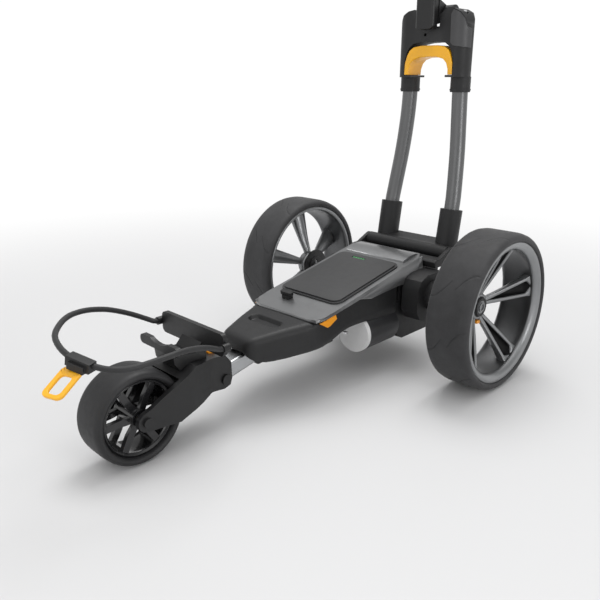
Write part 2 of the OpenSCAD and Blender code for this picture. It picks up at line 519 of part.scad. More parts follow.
module power_button() color([0.9, 0.9, 0.9]) at_head() translate([30, -24, 0]) union() { translate([0, 0, 15]) cylinder(r = 7, h = 7.5); }

place() chassis_shell();
place() chassis_floor();
place() deck_frame();
place() side_marker_right();
place() side_marker_left();
place() front_tube();
place() pivot_block();
place() control_board();
place() gearbox_left();
place() gearbox_right();
place() gearbox_bearings();
place() motor_can();
place() motor_cap();
place() battery_case();
place() battery_lid();
place() battery_cells();
place() battery_leds();
place() hinge_base();
place() stem_pin();
place() chassis_screws();
place() battery_plug();
place() motor_rotor();
place() worm();
place() axle_shaft();
place() worm_wheel();
place() drive_pins();
place() tyre_right();
place() rim_right();
place() hub_right();
place() hub_cap_right();
place() release_right();
place() tyre_left();
place() rim_left();
place() hub_left();
place() hub_cap_left();
place() release_left();
place() fork();
place() fork_pin();
place() bag_cradle();
place() front_axle();
place() bag_strap();
place() strap_hook();
place() strap_tab();
place() fork_latch();
place() front_tyre();
place() front_rim();
place() front_bearings();
place() stem_yoke();
place() stem_tube_right();
place() stem_tube_left();
place() upper_bracket();
place() side_pod();
place() handle_pin();
place() fold_lever();
place() handle_stem();
place() handle_head();
place() handle_grip();
place() display_lens();
place() speed_dial();
place() power_button();
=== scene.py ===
import bpy, bmesh, math
from math import radians, sin, cos, pi
from mathutils import Vector, Matrix


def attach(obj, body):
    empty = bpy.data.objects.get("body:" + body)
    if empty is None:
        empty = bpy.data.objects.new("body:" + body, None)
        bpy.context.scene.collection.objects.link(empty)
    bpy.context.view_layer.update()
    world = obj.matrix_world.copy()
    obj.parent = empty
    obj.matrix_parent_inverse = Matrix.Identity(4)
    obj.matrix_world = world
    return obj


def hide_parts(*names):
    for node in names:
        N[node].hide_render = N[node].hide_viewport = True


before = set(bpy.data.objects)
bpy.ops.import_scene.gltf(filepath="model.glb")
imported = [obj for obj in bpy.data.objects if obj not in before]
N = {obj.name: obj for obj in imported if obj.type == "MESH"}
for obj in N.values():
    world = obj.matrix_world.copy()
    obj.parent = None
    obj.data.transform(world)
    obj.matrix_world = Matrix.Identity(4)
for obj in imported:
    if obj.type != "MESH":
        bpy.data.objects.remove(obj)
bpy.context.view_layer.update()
OY = 0.2415


def ax(x, y, z):
    """millimetres about the rear axle to metres in the row frame"""
    return Vector((x / 1000, y / 1000 + OY, z / 1000))


# ------------------------------------------------------------------ materials
def mat(name, base, rough=0.5, metal=0.0, var=0.10, vscale=14, rvar=0.06, grain=700, bump=0.25, depth=0.00012,
        stretch=(1, 1, 1), spec=0.5, coat=0.0, coat_rough=0.1, edge_wear_and_highlight=0.0, edge_wear_and_highlight_col=None, speck=0.0, trans=0.0, ior=None, sheen=0.0):
    m = bpy.data.materials.new(name)
    m.use_nodes = True
    nt = m.node_tree
    nt.nodes.clear()
    out = nt.nodes.new("ShaderNodeOutputMaterial")
    b = nt.nodes.new("ShaderNodeBsdfPrincipled")
    nt.links.new(b.outputs[0], out.inputs[0])
    tc = nt.nodes.new("ShaderNodeTexCoord")
    mp = nt.nodes.new("ShaderNodeMapping")
    mp.inputs["Scale"].default_value = stretch
    nt.links.new(tc.outputs["Object"], mp.inputs[0])

    def noise(scale, detail, rough_):
        n = nt.nodes.new("ShaderNodeTexNoise")
        n.inputs["Scale"].default_value = scale
        n.inputs["Detail"].default_value = detail
        n.inputs["Roughness"].default_value = rough_
        nt.links.new(mp.outputs[0], n.inputs["Vector"])
        return n

    n1 = noise(vscale, 6, 0.6)
    ramp = nt.nodes.new("ShaderNodeValToRGB")
    lo = [max(0, c * (1 - var)) for c in base] + [1]
    hi = [min(1, c * (1 + var)) for c in base] + [1]
    ramp.color_ramp.elements[0].position = 0.32
    ramp.color_ramp.elements[1].position = 0.70
    ramp.color_ramp.elements[0].color = lo
    ramp.color_ramp.elements[1].color = hi
    nt.links.new(n1.outputs["Fac"], ramp.inputs[0])
    col = ramp.outputs[0]
    if speck:
        n4 = noise(2600, 1, 0.5)
        r4 = nt.nodes.new("ShaderNodeValToRGB")
        r4.color_ramp.elements[0].position = 0.60
        r4.color_ramp.elements[1].position = 0.74
        r4.color_ramp.elements[0].color = (0, 0, 0, 1)
        r4.color_ramp.elements[1].color = (speck, speck, speck, 1)
        nt.links.new(n4.outputs["Fac"], r4.inputs[0])
        add = nt.nodes.new("ShaderNodeMix")
        add.data_type = "RGBA"
        add.blend_type = "ADD"
        add.inputs[0].default_value = 1
        nt.links.new(col, add.inputs[6])
        nt.links.new(r4.outputs[0], add.inputs[7])
        col = add.outputs[2]
    # lighter colour on convex edges from pointiness: painted edge highlight, partly standing for edge wear
    if edge_wear_and_highlight:
        geo = nt.nodes.new("ShaderNodeNewGeometry")
        edge_wear_and_highlight_ramp = nt.nodes.new("ShaderNodeValToRGB")
        edge_wear_and_highlight_ramp.color_ramp.elements[0].position = 0.53
        edge_wear_and_highlight_ramp.color_ramp.elements[1].position = 0.60
        edge_wear_and_highlight_ramp.color_ramp.elements[0].color = (0, 0, 0, 1)
        edge_wear_and_highlight_ramp.color_ramp.elements[1].color = (edge_wear_and_highlight, edge_wear_and_highlight, edge_wear_and_highlight, 1)
        nt.links.new(geo.outputs["Pointiness"], edge_wear_and_highlight_ramp.inputs[0])
        mx = nt.nodes.new("ShaderNodeMix")
        mx.data_type = "RGBA"
        edge_wear_and_highlight_rgb = edge_wear_and_highlight_col or [min(1, c * 2.2 + 0.02) for c in base]
        mx.inputs[7].default_value = list(edge_wear_and_highlight_rgb) + [1]
        nt.links.new(edge_wear_and_highlight_ramp.outputs[0], mx.inputs[0])
        nt.links.new(col, mx.inputs[6])
        col = mx.outputs[2]
    nt.links.new(col, b.inputs["Base Color"])
    n2 = noise(vscale * 4.3, 5, 0.65)
    mr = nt.nodes.new("ShaderNodeMapRange")
    mr.inputs[1].default_value = 0.25
    mr.inputs[2].default_value = 0.75
    mr.inputs[3].default_value = max(0.02, rough - rvar)
    mr.inputs[4].default_value = min(1, rough + rvar)
    nt.links.new(n2.outputs["Fac"], mr.inputs[0])
    nt.links.new(mr.outputs[0], b.inputs["Roughness"])
    n3 = noise(grain, 3, 0.55)
    bp = nt.nodes.new("ShaderNodeBump")
    bp.inputs["Strength"].default_value = bump
    bp.inputs["Distance"].default_value = depth
    nt.links.new(n3.outputs["Fac"], bp.inputs["Height"])
    nt.links.new(bp.outputs[0], b.inputs["Normal"])
    b.inputs["Metallic"].default_value = metal
    b.inputs["Specular IOR Level"].default_value = spec
    b.inputs["Coat Weight"].default_value = coat
    b.inputs["Coat Roughness"].default_value = coat_rough
    b.inputs["Sheen Weight"].default_value = sheen
    if trans:
        b.inputs["Transmission Weight"].default_value = trans
    if ior:
        b.inputs["IOR"].default_value = ior
    return m


# the wear setting of each material lightens its convex edges as a painted edge highlight, partly edge wear
M = {
    "black": mat("plastic_black", (0.0095, 0.0095, 0.0102), 0.52, var=0.14, vscale=22, grain=1500, bump=0.5, depth=0.00010, edge_wear_and_highlight=0.35, rvar=0.05, spec=0.42),
    "black2": mat("plastic_black_smooth", (0.0075, 0.0075, 0.008), 0.42, var=0.12, vscale=26, grain=1300, bump=0.3, depth=0.00007, edge_wear_and_highlight=0.3, spec=0.45),
    "gloss": mat("plastic_gloss", (0.013, 0.013, 0.014), 0.20, var=0.10, vscale=18, grain=500, bump=0.15, depth=0.00005, coat=0.25, coat_rough=0.08, edge_wear_and_highlight=0.25),
    "dark": mat("battery_case_grey", (0.050, 0.051, 0.053), 0.47, var=0.10, vscale=20, grain=1400, bump=0.45, depth=0.0001, edge_wear_and_highlight=0.3),
    "lid": mat("battery_lid_grey", (0.026, 0.0265, 0.0275), 0.46, var=0.08, vscale=18, grain=1500, bump=0.45, depth=0.0001, edge_wear_and_highlight=0.25),
    "pod": mat("pod_grey", (0.045, 0.045, 0.047), 0.42, var=0.1, vscale=24, grain=1400, bump=0.4, depth=0.0001, edge_wear_and_highlight=0.25),
    "silver": mat("deck_silver_paint", (0.165, 0.167, 0.170), 0.34, 0.78, var=0.06, vscale=12, grain=900, bump=0.18, depth=0.00005, speck=0.05, coat=0.3, coat_rough=0.15, edge_wear_and_highlight=0.2),
    "rim": mat("rim_silver_paint", (0.235, 0.24, 0.245), 0.34, 0.78, var=0.07, vscale=16, grain=800, bump=0.18, depth=0.00005, speck=0.05, coat=0.25, coat_rough=0.15, edge_wear_and_highlight=0.15),
    "alu": mat("aluminium_satin", (0.45, 0.46, 0.47), 0.30, 1.0, var=0.06, vscale=30, grain=1100, bump=0.3, depth=0.00005, stretch=(1, 0.06, 1), edge_wear_and_highlight=0.1),
    "tube": mat("tube_titanium", (0.130, 0.131, 0.133), 0.34, 0.88, var=0.06, vscale=26, grain=1000, bump=0.3, depth=0.00004, stretch=(1, 1, 0.07), edge_wear_and_highlight=0.1),
    "steel": mat("steel_turned", (0.55, 0.55, 0.56), 0.28, 1.0, var=0.08, vscale=40, grain=1500, bump=0.25, depth=0.00004, stretch=(0.1, 1, 1)),
    "orange": mat("plastic_orange", (0.80, 0.30, 0.010), 0.33, var=0.06, vscale=30, grain=900, bump=0.2, depth=0.00006, coat=0.15),
    "yellow": mat("plastic_yellow", (0.86, 0.42, 0.008), 0.36, var=0.06, vscale=26, grain=1100, bump=0.25, depth=0.00006, coat=0.12),
    "tyre": mat("tyre_rubber", (0.031, 0.031, 0.0325), 0.64, var=0.20, vscale=26, grain=1300, bump=0.6, depth=0.00016, edge_wear_and_highlight=0.25, edge_wear_and_highlight_col=(0.10, 0.10, 0.10), spec=0.36, sheen=0.05),
    "tyre_f": mat("tyre_front_rubber", (0.017, 0.017, 0.018), 0.55, var=0.18, vscale=30, grain=1300, bump=0.5, depth=0.00012, edge_wear_and_highlight=0.2, spec=0.4),
    "rubber": mat("strap_rubber", (0.022, 0.022, 0.023), 0.52, var=0.15, vscale=40, grain=1700, bump=0.5, depth=0.0001, spec=0.4),
    "grip": mat("grip_rubber", (0.030, 0.030, 0.031), 0.72, var=0.18, vscale=40, grain=1300, bump=0.8, depth=0.0002),
    "motor": mat("motor_enamel", (0.028, 0.028, 0.03), 0.38, 0.2, var=0.1, vscale=30, grain=900, bump=0.2, depth=0.00006, coat=0.2),
    "cap": mat("motor_cap_grey", (0.60, 0.60, 0.60), 0.52, var=0.05, vscale=26, grain=1200, bump=0.3, depth=0.00008),
    "board": mat("board_green", (0.012, 0.10, 0.035), 0.35, var=0.2, vscale=60, grain=500, bump=0.3, depth=0.00006),
    "copper": mat("winding_copper", (0.55, 0.23, 0.09), 0.36, 0.9, var=0.2, vscale=60, grain=900, bump=0.8, depth=0.0002, stretch=(1, 0.1, 1)),
    "bronze": mat("bronze_wheel", (0.60, 0.40, 0.15), 0.33, 1.0, var=0.12, vscale=50, grain=900, bump=0.3, depth=0.00006),
    "cell": mat("cell_wrap_blue", (0.05, 0.16, 0.30), 0.35, var=0.1, vscale=40, grain=600, bump=0.2, depth=0.00005),
    "lens": mat("lens_dark", (0.012, 0.016, 0.020), 0.10, var=0.2, vscale=20, grain=400, bump=0.05, depth=0.00003, coat=0.6, coat_rough=0.03),
    "led": mat("led_green", (0.06, 0.30, 0.10), 0.3, var=0.2, vscale=90, grain=900, bump=0.2, depth=0.00005),
    # near-black for the sunk spoke webs: painted shade in the recess
    "recess_painted_shade": mat("spoke_recess_painted_shade", (0.0045, 0.0045, 0.005), 0.6, var=0.15, vscale=24, grain=1200, bump=0.3, depth=0.0001, spec=0.25),
    # darker copy of the rim paint for inside the barrel: painted shade
    "rim_barrel_painted_shade": mat("rim_inner_painted_shade", (0.12, 0.122, 0.125), 0.32, 0.8, var=0.08, vscale=16, grain=800, bump=0.18, depth=0.00005, speck=0.03),
    "white": mat("plastic_white", (0.72, 0.72, 0.71), 0.35, var=0.04, vscale=40, grain=1100, bump=0.2, depth=0.00005),
}
LOOK = dict(
    chassis_shell="black", chassis_floor="black", deck_frame="silver", side_marker_right="orange", side_marker_left="orange",
    front_tube="alu", pivot_block="black2", control_board="board", gearbox_left="black", gearbox_right="black", gearbox_bearings="steel",
    motor_can="motor", motor_cap="cap", battery_case="dark", battery_lid="lid", battery_cells="cell", battery_leds="led",
    hinge_base="black", stem_pin="steel", chassis_screws="steel", battery_plug="black2", motor_rotor="copper", worm="steel",
    axle_shaft="steel", worm_wheel="bronze", drive_pins="steel", tyre_right="tyre", rim_right="rim", hub_right="black2",
    hub_cap_right="rim", release_right="orange", tyre_left="tyre", rim_left="rim", hub_left="black2", hub_cap_left="rim",
    release_left="orange", fork="black2", fork_pin="black2", bag_cradle="black2", front_axle="black2", bag_strap="rubber",
    strap_hook="black2", strap_tab="yellow", fork_latch="orange", front_tyre="tyre_f", front_rim="gloss", front_bearings="steel",
    stem_yoke="black", stem_tube_right="tube", stem_tube_left="tube", upper_bracket="black", side_pod="pod", handle_pin="steel",
    fold_lever="yellow", handle_stem="black2", handle_head="black", handle_grip="grip", display_lens="lens", speed_dial="orange",
    power_button="white")
BEVEL = dict(
    chassis_shell=3.2, chassis_floor=0.6, deck_frame=1.3, side_marker_right=1.0, side_marker_left=1.0, front_tube=0.4, pivot_block=1.2,
    control_board=0.3, gearbox_left=1.6, gearbox_right=1.6, motor_can=1.0, motor_cap=1.2, battery_case=1.0, battery_lid=1.2,
    battery_leds=0.4, hinge_base=1.8, stem_pin=0.6, chassis_screws=0.4, battery_plug=1.0, rim_right=0.9, rim_left=0.9, hub_right=0.6,
    hub_left=0.6, hub_cap_right=0.6, hub_cap_left=0.6, release_right=0.8, release_left=0.8, fork=2.2, fork_pin=0.8, bag_cradle=1.3,
    front_axle=1.0, strap_hook=1.4, strap_tab=1.2, fork_latch=0.8, front_rim=0.8, stem_yoke=1.5, upper_bracket=3.0, side_pod=1.0,
    fold_lever=1.8, handle_stem=1.2, handle_head=2.2, handle_grip=1.5, display_lens=0.5, speed_dial=0.8, power_button=0.7)


def finish_mods(o, bevel=None, angle=32, seg=3, clean=True):
    if clean:
        w = o.modifiers.new("weld", "WELD")
        w.merge_threshold = 2e-6
    if bevel:
        b = o.modifiers.new("bevel", "BEVEL")
        b.width = bevel / 1000
        b.segments = seg
        b.limit_method = "ANGLE"
        b.angle_limit = radians(angle)
        b.harden_normals = False
        b.use_clamp_overlap = True
        b.miter_outer = "MITER_ARC"
    n = o.modifiers.new("wn", "WEIGHTED_NORMAL")
    n.keep_sharp = False


def smooth(o, angle=35):
    for p in o.data.polygons:
        p.use_smooth = True


for n, o in N.items():
    o.data.materials.clear()
    o.data.materials.append(M[LOOK[n]])
    smooth(o)
    if n in BEVEL:
        finish_mods(o, BEVEL[n])


def new_obj(name, bm_or_mesh, body, look, subs=0, bevel=None, nodes=()):
    if isinstance(bm_or_mesh, bpy.types.Mesh):
        me = bm_or_mesh
    else:
        me = bpy.data.meshes.new(name)
        bm_or_mesh.to_mesh(me)
        bm_or_mesh.free()
    o = bpy.data.objects.new(name, me)
    bpy.context.scene.collection.objects.link(o)
    looks = look if isinstance(look, (list, tuple)) else [look]
    for l in looks:
        me.materials.append(M[l])
    smooth(o)
    if bevel:
        finish_mods(o, bevel, clean=False)
    if subs:
        s = o.modifiers.new("subs", "SUBSURF")
        s.levels = s.render_levels = subs
    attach(o, body)
    if nodes:
        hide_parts(*nodes)
    return o


# ------------------------------------------------------------------ rear tyres with a tread
def tyre(side):
    s = 1 if side == "right" else -1
    R, W, X0 = 145.0, 84.0, 282.0
    prof = [(130.0, -4.5), (130.7, -2.6), (132.0, -1.0), (134.0, -0.15), (136.5, -0.2), (139.0, -1.2), (141.2, -3.2), (142.9, -6.2), (144.0, -9.8), (144.6, -13.5)]
    mid = [(R - 0.10 * ((x + 42) / 26.0) ** 2, x) for x in [-(17 + 50 * i / 34.0) for i in range(35)]]
    prof = prof + mid + [(r, -W - x) for r, x in reversed(prof)]
    n = 720
    bm = bmesh.new()
    rings = []
    for i in range(n):
        t = 2 * pi * i / n
        deg = 360.0 * i / n
        ring = []
        for (r, x) in prof:
            d = 0.0
            # long curved sipes that sweep in from each shoulder
            for edge, sg in ((-7.0, 1), (-W + 7.0, -1)):
                u = (edge - x) * sg                      # distance in from the shoulder, mm
                if -3 < u < 30:
                    c = 13.0 * (max(u, 0) / 30.0) ** 1.6 * sg
                    off = ((deg - c + (20 if sg < 0 else 0)) % 40.0) - 20.0
                    wmm = 2 * pi * R * off / 360.0
                    width = 1.0 * (1 - 0.5 * max(u, 0) / 30.0)
                    d = max(d, 1.6 * max(0.0, 1 - (abs(wmm) / (width + 0.7)) ** 2))
            # two fine running grooves
            for gx in (-10.5, -W + 10.5):
                d = max(d, 0.55 * max(0.0, 1 - ((x - gx) / 1.1) ** 2))
            rr = r - d
            ring.append(bm.verts.new(((X0 + x) * s / 1000, OY + rr * cos(t) / 1000, 0.145 + rr * sin(t) / 1000)))
        rings.append(ring)
    m = len(prof)
    for i in range(n):
        a, b = rings[i], rings[(i + 1) % n]
        for j in range(m - 1):
            bm.faces.new((a[j], a[j + 1], b[j + 1], b[j]) if s > 0 else (a[j], b[j], b[j + 1], a[j + 1]))
        bm.faces.new((a[m - 1], a[0], b[0], b[m - 1]) if s > 0 else (a[m - 1], b[m - 1], b[0], a[0]))
    bmesh.ops.recalc_face_normals(bm, faces=bm.faces)
    return new_obj("tyre_tread_" + side, bm, "wheel_" + side, "tyre", nodes=("tyre_" + side,))


for sd in ("right", "left"):
    tyre(sd)

# ------------------------------------------------------------------ strap, one rubber loop held at both ends
ROUTE = [(-84, -493, 168), (-85, -500, 169.5), (-90, -512, 176), (-93, -532, 187), (-94.5, -553, 197), (-93.5, -575, 206), (-89, -598, 213),
         (-82, -621, 218), (-69, -648, 221), (-49, -672, 220), (-20, -694, 217), (11, -703, 212), (36, -703, 207), (55, -698, 203), (70, -690, 200),
         (83, -680, 196.5), (93, -667, 194.5), (100, -653, 194), (104, -637, 195), (106, -620, 196), (106, -600, 196), (103.5, -579, 195),
         (99.5, -555, 191), (94.5, -531, 184), (88, -509, 174), (84.5, -500, 169.5), (84, -493, 168)]


def catmull(p, k):
    out = []
    for i in range(len(p) - 1):
        a, b, c, d = Vector(p[max(i - 1, 0)]), Vector(p[i]), Vector(p[i + 1]), Vector(p[min(i + 2, len(p) - 1)])
        for j in range(k):
            t = j / k
            out.append(0.5 * (2 * b + (c - a) * t + (2 * a - 5 * b + 4 * c - d) * t * t + (3 * b - a - 3 * c + d) * t ** 3))
    out.append(Vector(p[-1]))
    return out


pts = [ax(*q) for q in catmull(ROUTE, 3)]
cu = bpy.data.curves.new("strap_curve", "CURVE")
cu.dimensions = "3D"
cu.bevel_depth = 0.0042
cu.bevel_resolution = 6
sp = cu.splines.new("POLY")
sp.points.add(len(pts) - 1)
for i, q in enumerate(pts):
    sp.points[i].co = (q.x, q.y, q.z, 1)
sp.use_smooth = True
cu.use_fill_caps = True
strap = bpy.data.objects.new("strap_loop", cu)
bpy.context.scene.collection.objects.link(strap)
cu.materials.append(M["rubber"])
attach(strap, "front_fork")
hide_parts("bag_strap")

# ------------------------------------------------------------------ rear rims: barrel with a broad lip, boss and five double spokes
def lathe(bm, prof, n, fn, mi=0, closed=True):
    rings = []
    for i in range(n):
        t = 2 * pi * i / n
        rings.append([bm.verts.new(fn(r, x, t)) for r, x in prof])
    m = len(prof)
    for i in range(n):
        a, b = rings[i], rings[(i + 1) % n]
        for j in range(m if closed else m - 1):
            k = (j + 1) % m
            f = bm.faces.new((a[j], a[k], b[k], b[j]))
            f.material_index = mi
    return rings


def spoke_front(r):
    P = [(22, -59.5), (27, -58.4), (112, -19.5), (119, -14.8), (124, -12.6)]
    for (a, xa), (b, xb) in zip(P, P[1:]):
        if r <= b:
            return xa + (xb - xa) * (r - a) / (b - a)
    return P[-1][1]


def rear_rim(side, phase):
    s = 1 if side == "right" else -1
    X0 = 282.0

    def pt(r, x, t):
        return (((X0 + x) * s / 1000, OY + r * cos(t) / 1000, 0.145 + r * sin(t) / 1000))

    bm = bmesh.new()
    lip = [(130, -4.2), (129.2, -3.0), (127.6, -2.65), (124.5, -3.1), (121.0, -4.9), (117.6, -7.3), (115.4, -9.8), (114.2, -12.2), (114.0, -14.2),
           (114.9, -17.0), (116.4, -21.5), (118.0, -28), (118.9, -36), (119.6, -48), (120.1, -60), (121.0, -70), (122.4, -78), (125.2, -81), (128.4, -81.2), (130, -79.8)]
    lathe(bm, lip, 144, pt)
    # faces inside the barrel take the darker rim copy as painted shade
    bm.faces.ensure_lookup_table()
    for f in bm.faces:
        xs = [((v.co.x * 1000 * s) - X0) for v in f.verts]
        if max(xs) < -13.9 and min(xs) > -80.9:
            f.material_index = 1
    boss = [(19.05, -78), (25.0, -78), (25.4, -70), (25.4, -61.5), (24.6, -59.2), (22.8, -58.1), (19.8, -57.9), (19.05, -58.6)]
    lathe(bm, boss, 96, pt)
    bmesh.ops.recalc_face_normals(bm, faces=bm.faces)
    new_obj("rim_barrel_" + side, bm, "wheel_" + side, ["rim", "rim_barrel_painted_shade"], nodes=("rim_" + side,))
    # double spokes: two arms either side of a sunk web painted near-black as shade
    bm = bmesh.new()
    R = [22.5, 26, 31, 37, 45, 55, 66, 77, 88, 97, 104, 108, 111, 113.5, 115.5, 117.5, 120, 123.5]
    for k in range(5):
        th0 = radians(90 + phase + 72 * k)
        prev = None
        for i, r in enumerate(R):
            x = spoke_front(r)
            ho = 7.6 + (r - 22) * 0.140
            if r > 104:
                ho += 4.0 * ((r - 104) / 19.0) ** 2      # flare into the lip
            hi = max(0.5, (r - 28) * 0.160)
            if r > 107:
                hi *= max(0.06, 1 - ((r - 107) / 8.5) ** 2)
            depth = (13 if r < 60 else 13 + (r - 60) * 0.20) + (3 if r > 60 else 3 * (r - 22) / 38)
            rec = min(15.0, 1.0 + (r - 28) * 0.45) if r > 28 else 0.4
            if r > 113:
                rec = max(0.3, rec * (1 - (r - 113) / 3.0))
            crown = 0.6
            # cross-section across the spoke: (tangent, x); faces 6 to 8, the sunk web, take near-black painted shade
            prof = [(-ho + 1.8, x - depth), (-ho, x - 3.5), (-ho + 0.5, x - 0.9), (-ho + 1.5, x), (-(ho + hi) / 2, x + crown), (-hi - 0.9, x), (-hi, x - 0.9),
                    (-hi * 0.93, x - rec), (hi * 0.93, x - rec), (hi, x - 0.9), (hi + 0.9, x), ((ho + hi) / 2, x + crown), (ho - 1.5, x), (ho - 0.5, x - 0.9),
                    (ho, x - 3.5), (ho - 1.8, x - depth)]
            ring = []
            for (tg, xx) in prof:
                rr = math.sqrt(max(r * r - tg * tg, 1)) if r > 40 else r
                y = rr * cos(th0) - tg * sin(th0)
                z = rr * sin(th0) + tg * cos(th0)
                ring.append(bm.verts.new(((X0 + xx) * s / 1000, OY + y / 1000, 0.145 + z / 1000)))
            if prev:
                m = len(ring)
                for j in range(m):
                    f = bm.faces.new((prev[j], prev[(j + 1) % m], ring[(j + 1) % m], ring[j]))
                    # sunk web faces take the near-black painted shade
                    if j in (6, 7, 8):
                        f.material_index = 1
            else:
                bm.faces.new(ring)
            prev = ring
        bm.faces.new(list(reversed(prev)))
    bmesh.ops.recalc_face_normals(bm, faces=bm.faces)
    o = new_obj("rim_spokes_" + side, bm, "wheel_" + side, ["rim", "recess_painted_shade"], nodes=("rim_" + side,))
    sm = o.modifiers.new("subs", "SUBSURF")
    sm.levels = sm.render_levels = 1
    return o


rear_rim("right", -6)
rear_rim("left", 0)


# ------------------------------------------------------------------ front tyre and stem tubes with fuller curves
def front_tyre():
    R, W = 74.0, 64.0
    half = [(60.2, 22.5), (60.6, 26.5), (61.6, 29.2), (63.4, 31.0), (65.2, 31.75), (66.6, 32.0), (67.6, 31.6), (68.1, 30.9), (68.8, 30.7), (70.0, 30.0), (71.4, 28.2), (72.6, 25.6), (73.4, 22.0), (73.8, 18), (74, 12), (74, 6)]
    prof = half + [(74, 0)] + [(r, -x) for r, x in reversed(half)]

    def pt(r, x, t):
        d = 0
        for gx in (-17.0, 17.0):
            d = max(d, 0.7 * max(0.0, 1 - ((x - gx) / 1.5) ** 2))
        r -= d
        return (x / 1000, -0.603 + OY + r * cos(t) / 1000, 0.074 + r * sin(t) / 1000)

    bm = bmesh.new()
    lathe(bm, prof, 192, pt)
    bmesh.ops.recalc_face_normals(bm, faces=bm.faces)
    new_obj("front_tyre_body", bm, "front_wheel", "tyre_f", nodes=("front_tyre",))


front_tyre()
TUBE = [(75, 112.4, 236), (75.2, 121, 290), (73.6, 127.5, 324), (67.6, 138.8, 398), (62.7, 143.8, 460), (60, 145.3, 510), (59.7, 144.8, 549)]
for sd, sg in (("right", 1), ("left", -1)):
    q = [ax(sg * a.x, a.y, a.z) for a in catmull(TUBE, 8)]
    tc = bpy.data.curves.new("stem_tube_curve_" + sd, "CURVE")
    tc.dimensions = "3D"
    tc.bevel_depth = 0.01547
    tc.bevel_resolution = 12
    tc.use_fill_caps = True
    ts = tc.splines.new("POLY")
    ts.points.add(len(q) - 1)
    for i, v in enumerate(q):
        ts.points[i].co = (v.x, v.y, v.z, 1)
    ts.use_smooth = True
    to = bpy.data.objects.new("stem_tube_body_" + sd, tc)
    bpy.context.scene.collection.objects.link(to)
    tc.materials.append(M["tube"])
    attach(to, "stem")
    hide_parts("stem_tube_" + sd)

# ------------------------------------------------------------------ chassis nose and sides, one moulded skin open below
def interp(tab, v):
    if v <= tab[0][0]:
        return tab[0][1]
    for (a, fa), (b, fb_) in zip(tab, tab[1:]):
        if v <= b:
            t = (v - a) / (b - a)
            return fa + (fb_ - fa) * t
    return tab[-1][1]


